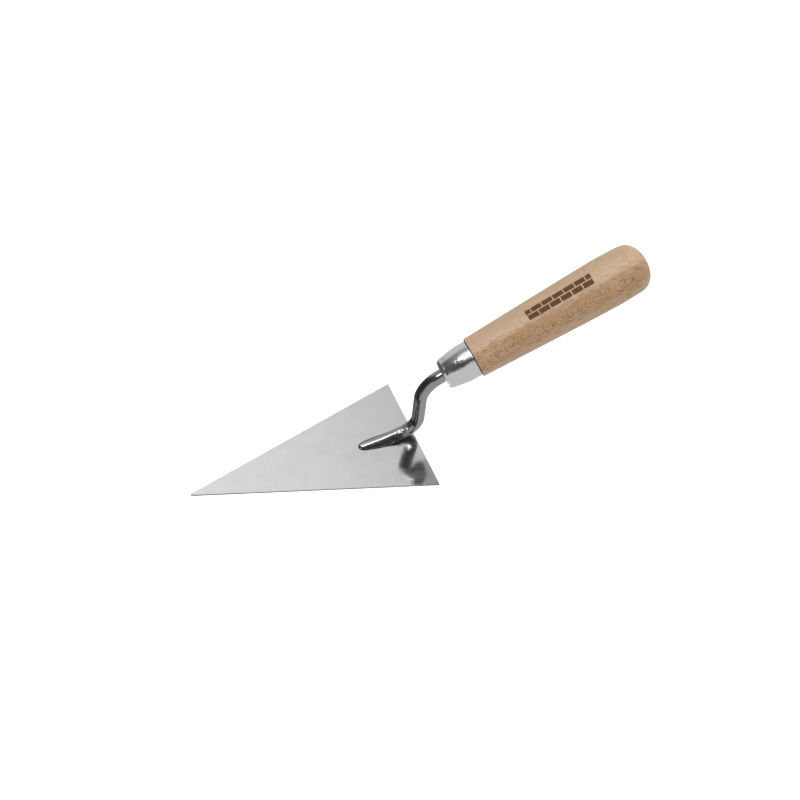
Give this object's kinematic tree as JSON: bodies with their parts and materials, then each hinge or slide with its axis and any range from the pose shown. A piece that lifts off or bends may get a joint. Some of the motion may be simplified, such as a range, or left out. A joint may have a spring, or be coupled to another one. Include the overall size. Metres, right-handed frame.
{
  "type": "pointed trowel",
  "caption": "Small pointed trowel for inside corners, with a flat triangular steel blade, a gooseneck shank, a plated ferrule and a turned wooden handle.",
  "frame": {"origin": "on the blade's flat underside, on its centreline, one third of the blade's length ahead of the heel edge", "axes": "+X from the blade's point towards the handle, +Y across the blade to the left, +Z square to the blade towards the handle"},
  "size_m": [0.2717, 0.08, 0.1234],
  "materials": {
    "blade_steel": "polished",
    "shank_steel": "forged and polished",
    "weld_steel": "ground",
    "ferrule_plate": "plated",
    "handle_wood": "fine sanded, thin clear coat"
  },
  "bodies": {
    "root": {"blade": "blade_steel", "shank": "shank_steel", "weld_left": "weld_steel", "weld_right": "weld_steel", "ferrule": "ferrule_plate", "handle": "handle_wood"}
  },
  "joints": []
}
